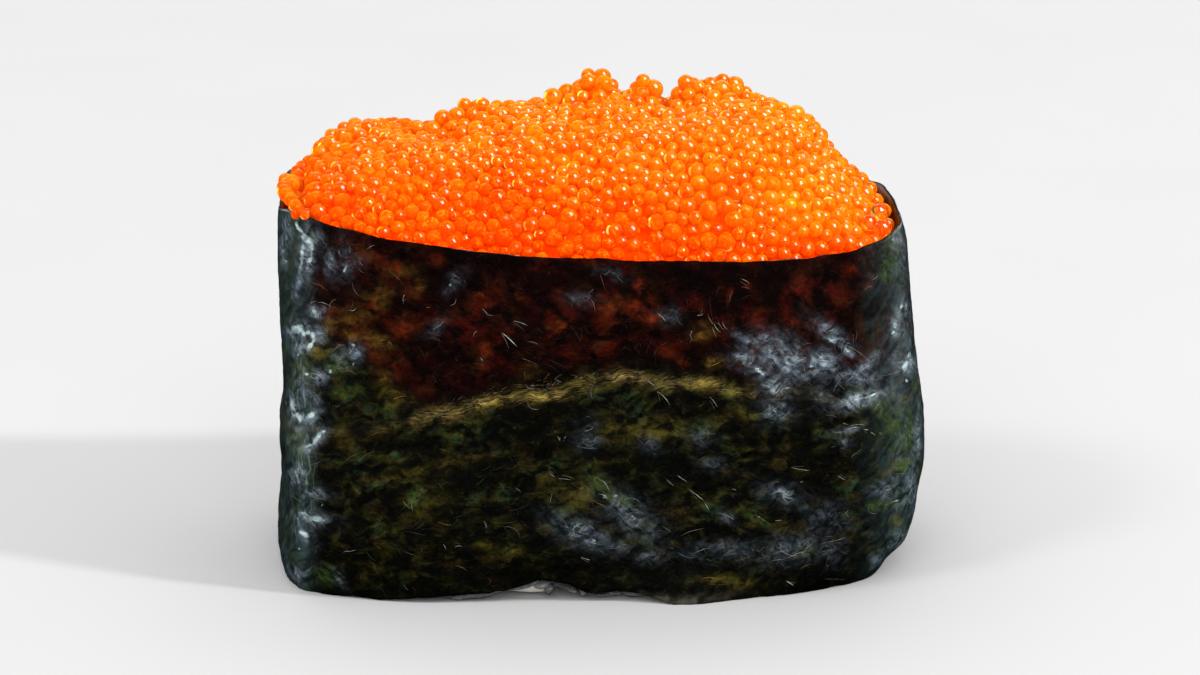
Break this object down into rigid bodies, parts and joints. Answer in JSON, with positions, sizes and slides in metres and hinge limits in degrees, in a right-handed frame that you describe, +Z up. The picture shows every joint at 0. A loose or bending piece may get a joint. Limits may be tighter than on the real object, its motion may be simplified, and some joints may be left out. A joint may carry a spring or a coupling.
{
  "type": "gunkan sushi with capelin roe",
  "caption": "Oblong block of pressed rice in an upright seaweed strip that laps at the back, its well heaped with small orange roe.",
  "frame": {"origin": "under the middle of the whole piece, in the plane it rests on", "axes": "+X along the length, towards the end where the strip's wall stands free above the roe; +Y to the back, where the strip laps; +Z up"},
  "size_m": [0.0508, 0.0292, 0.0387],
  "materials": {
    "nori": "moist roasted seaweed, near black green with brown mottling, crinkled and glossy",
    "rice": "cooked short grain rice, moist and slightly translucent",
    "roe": "translucent orange eggs with a wet gloss"
  },
  "bodies": {
    "root": {"nori_band": "nori", "rice_base": "rice", "roe_heap": "roe"}
  },
  "joints": []
}
